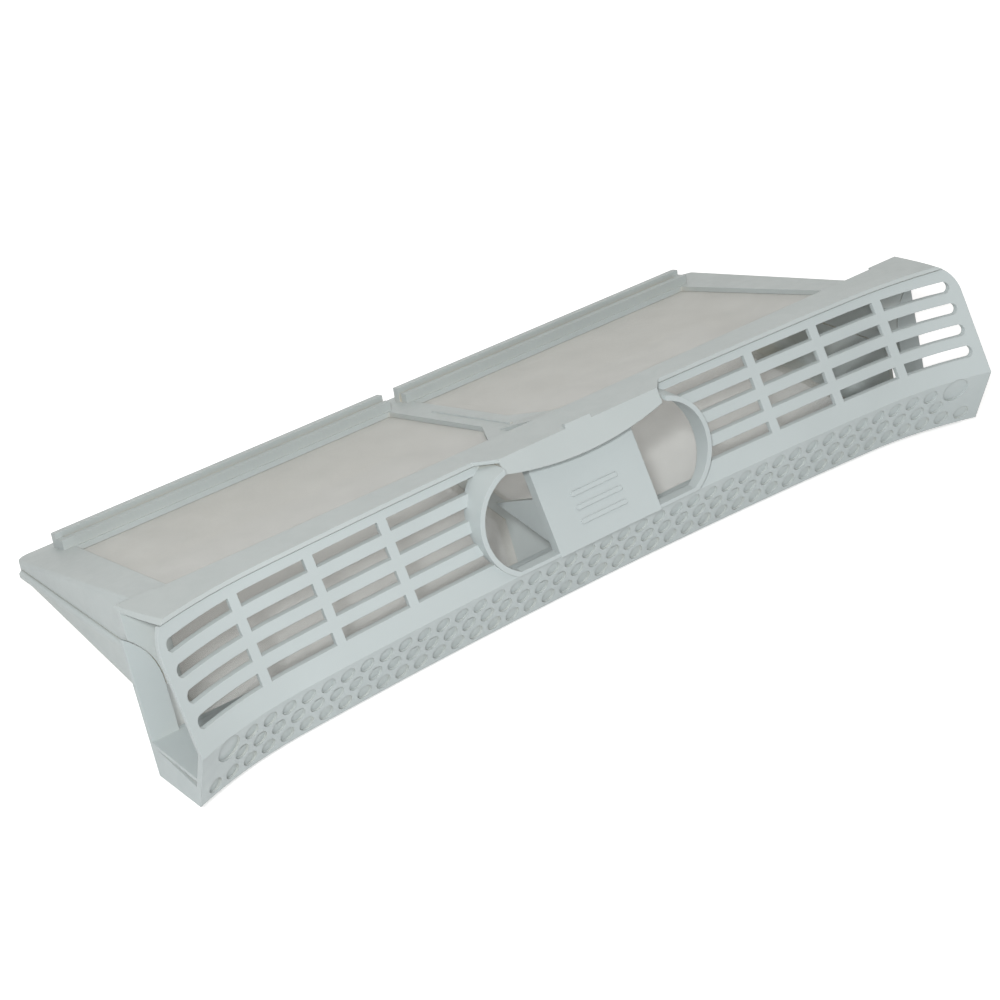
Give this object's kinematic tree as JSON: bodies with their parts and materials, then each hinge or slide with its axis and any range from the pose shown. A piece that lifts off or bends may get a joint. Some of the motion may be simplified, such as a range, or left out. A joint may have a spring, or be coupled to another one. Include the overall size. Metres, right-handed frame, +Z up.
{
  "type": "tumble dryer lint filter",
  "caption": "Lint filter for a tumble dryer: curved grille housing with a grip, dimpled lower band and a hinged wedge-shaped mesh bag that opens for cleaning.",
  "frame": {"origin": "centre of the footprint, on the surface that the filter lies on", "axes": "X along the grille front, Y from the grille towards the hinged far edge, Z up"},
  "size_m": [0.376, 0.1728, 0.069],
  "materials": {
    "housing_plastic": "light cool grey moulded plastic, satin",
    "frame_plastic": "light warm grey moulded plastic, satin",
    "screen_mesh": "fine woven synthetic mesh, pale grey"
  },
  "bodies": {
    "base": {"front_housing": "housing_plastic", "lower_frame": "frame_plastic", "lower_mesh_left": "screen_mesh", "lower_mesh_right": "screen_mesh"},
    "lid": {"upper_frame": "frame_plastic", "upper_mesh_left": "screen_mesh", "upper_mesh_right": "screen_mesh"}
  },
  "joints": [
    {"name": "lid_hinge", "type": "hinge", "parent": "base", "child": "lid", "pos_m": [0, 0.08364, 0.00647], "axis": [-1, 0, 0], "range_deg": [0, 140]}
  ]
}
